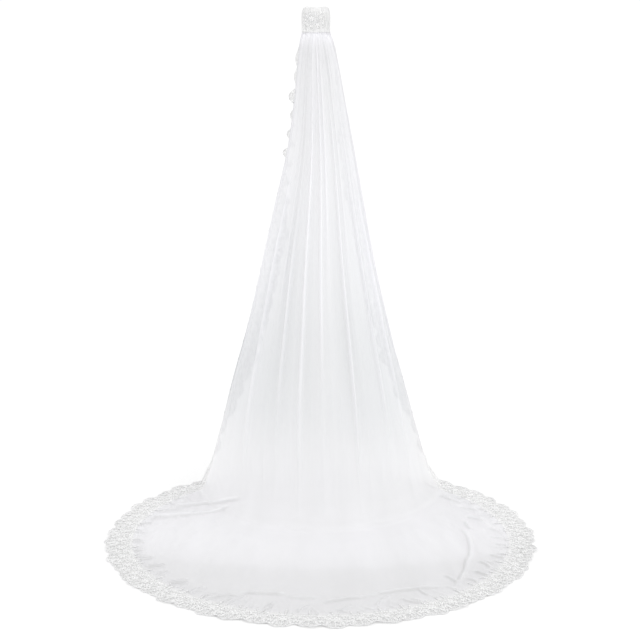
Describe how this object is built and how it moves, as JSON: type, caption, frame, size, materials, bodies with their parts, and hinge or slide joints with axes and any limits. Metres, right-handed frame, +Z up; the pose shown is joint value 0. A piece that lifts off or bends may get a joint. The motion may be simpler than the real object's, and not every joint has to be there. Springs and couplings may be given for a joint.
{
  "type": "bridal veil",
  "caption": "Long wedding veil of sheer gathered tulle on a hair comb, falling in fine folds to a round floor train, with a scalloped lace edge all round",
  "frame": {"origin": "where the comb's bar sits in the wearer's hair, 1.65 m above the floor", "axes": "+Z up, the wearer faces +Y, the train runs out along -Y, +X to the wearer's right"},
  "size_m": [1.4306, 1.3288, 1.733],
  "materials": {
    "tulle": "sheer fine net",
    "lace": "embroidered net",
    "comb": "clear satin"
  },
  "bodies": {
    "root": {"tulle_heading": "tulle", "tulle_fall": "tulle", "tulle_train": "tulle", "lace_left": "lace", "lace_train": "lace", "lace_right": "lace", "lace_motif": "lace", "comb": "comb"}
  },
  "joints": []
}
